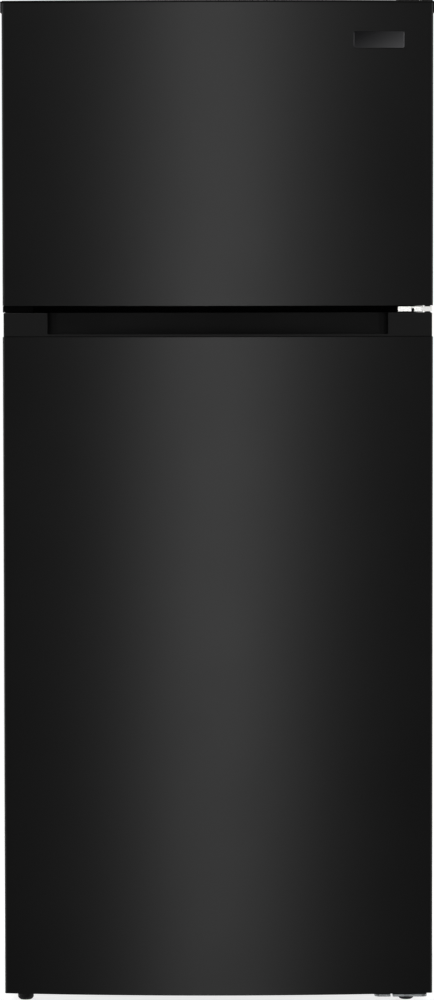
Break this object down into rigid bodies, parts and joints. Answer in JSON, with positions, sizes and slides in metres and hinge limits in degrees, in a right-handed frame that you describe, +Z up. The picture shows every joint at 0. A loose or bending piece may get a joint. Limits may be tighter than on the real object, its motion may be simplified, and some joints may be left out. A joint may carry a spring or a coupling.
{
  "type": "top freezer refrigerator",
  "caption": "Free-standing refrigerator with a freezer compartment on top, crowned black doors hinged at the right and a recessed pocket handle.",
  "frame": {"origin": "centre of the footprint on the floor, at the level of the feet and rollers", "axes": "+Z up, the doors face -Y and hinge at +X"},
  "size_m": [0.7552, 0.768, 1.784],
  "materials": {
    "black_painted_steel": "satin black coating",
    "dark_painted_steel": "textured black coating",
    "galvanised_steel": "bare zinc-coated sheet",
    "zinc_plated_steel": "bright zinc plating",
    "black_plastic": "moulded, fine grain",
    "badge_plastic": "glossy moulding",
    "white_liner": "vacuum-formed sheet",
    "clear_plastic": "clear moulding",
    "shelf_glass": "tempered pane",
    "foam": "rigid foam",
    "grey_rubber": "soft extrusion",
    "black_enamel": "black enamel",
    "copper_tube": "drawn tube",
    "aluminium_fins": "bare sheet and tube"
  },
  "bodies": {
    "cabinet": {"left_side_panel": "dark_painted_steel", "right_side_panel": "dark_painted_steel", "top_panel": "dark_painted_steel", "back_panel": "galvanised_steel", "base_pan": "galvanised_steel", "bay_roof": "galvanised_steel", "cabinet_foam": "foam", "fridge_liner": "white_liner", "freezer_liner": "white_liner", "mullion_rail": "dark_painted_steel", "evaporator_cover": "white_liner", "evaporator_coil": "aluminium_fins", "evaporator_fan_motor": "black_plastic", "defrost_heater": "aluminium_fins", "freezer_shelf_frame": "white_liner", "freezer_shelf_glass": "shelf_glass", "air_duct": "white_liner", "control_housing": "white_liner", "lamp_lens": "clear_plastic", "fridge_shelf_frames": "white_liner", "fridge_shelf_glass": "shelf_glass", "crisper_cover_frame": "white_liner", "crisper_cover_glass": "shelf_glass", "compressor": "black_enamel", "compressor_rail": "galvanised_steel", "compressor_grommets": "grey_rubber", "condenser_coil": "copper_tube", "drain_pan": "black_plastic", "refrigerant_lines": "copper_tube", "bay_cover": "galvanised_steel", "roller_axles": "zinc_plated_steel", "cord_gland": "black_plastic", "top_hinge": "zinc_plated_steel", "top_hinge_cover": "black_plastic", "middle_hinge": "zinc_plated_steel", "bottom_hinge": "zinc_plated_steel", "hinge_screws": "zinc_plated_steel"},
    "freezer_door": {"freezer_door_skin": "black_painted_steel", "freezer_door_foam": "foam", "freezer_door_liner": "white_liner", "freezer_door_gasket": "grey_rubber", "freezer_door_top_cap": "black_plastic", "freezer_door_bottom_cap": "black_plastic", "freezer_door_bins": "clear_plastic", "name_plate": "badge_plastic"},
    "fridge_door": {"fridge_door_skin": "black_painted_steel", "fridge_door_foam": "foam", "fridge_door_liner": "white_liner", "fridge_door_gasket": "grey_rubber", "fridge_door_handle_cap": "black_plastic", "fridge_door_bottom_cap": "black_plastic", "fridge_door_bins": "clear_plastic"},
    "left_drawer": {"left_crisper": "clear_plastic"},
    "right_drawer": {"right_crisper": "clear_plastic"},
    "knob": {"temperature_knob": "white_liner"},
    "fan": {"evaporator_fan": "black_plastic"},
    "left_wheel": {"left_roller": "black_plastic"},
    "right_wheel": {"right_roller": "black_plastic"},
    "left_leveller": {"left_foot": "black_plastic"},
    "right_leveller": {"right_foot": "black_plastic"}
  },
  "joints": [
    {"name": "freezer_door_hinge", "type": "hinge", "parent": "cabinet", "child": "freezer_door", "pos_m": [0.352, -0.33, 1.4985], "axis": [0, 0, 1], "range_deg": [0, 135]},
    {"name": "fridge_door_hinge", "type": "hinge", "parent": "cabinet", "child": "fridge_door", "pos_m": [0.352, -0.33, 0.6247], "axis": [0, 0, 1], "range_deg": [0, 135]},
    {"name": "left_crisper_slide", "type": "slide", "parent": "cabinet", "child": "left_drawer", "axis": [0, -1, 0], "range_m": [0, 0.24]},
    {"name": "right_crisper_slide", "type": "slide", "parent": "cabinet", "child": "right_drawer", "axis": [0, -1, 0], "range_m": [0, 0.24]},
    {"name": "temperature_knob_turn", "type": "hinge", "parent": "cabinet", "child": "knob", "pos_m": [0.08, -0.164, 1.1702], "axis": [0, -1, 0], "range_deg": [-135, 135]},
    {"name": "evaporator_fan_spin", "type": "hinge", "parent": "cabinet", "child": "fan", "pos_m": [0, 0.239, 1.5962], "axis": [0, 1, 0], "continuous": true},
    {"name": "left_roller_spin", "type": "hinge", "parent": "cabinet", "child": "left_wheel", "pos_m": [-0.313, 0.32, 0.02], "axis": [1, 0, 0], "continuous": true},
    {"name": "right_roller_spin", "type": "hinge", "parent": "cabinet", "child": "right_wheel", "pos_m": [0.313, 0.32, 0.02], "axis": [1, 0, 0], "continuous": true},
    {"name": "left_foot_screw", "type": "hinge", "parent": "cabinet", "child": "left_leveller", "pos_m": [-0.343, -0.245, 0.02], "axis": [0, 0, 1], "continuous": true},
    {"name": "right_foot_screw", "type": "hinge", "parent": "cabinet", "child": "right_leveller", "pos_m": [0.333, -0.245, 0.02], "axis": [0, 0, 1], "continuous": true}
  ],
  "couplings": [
    {"joint": "left_crisper_slide", "follows": "fridge_door_hinge", "m_per_rad": 0.1},
    {"joint": "right_crisper_slide", "follows": "fridge_door_hinge", "m_per_rad": 0.1}
  ]
}
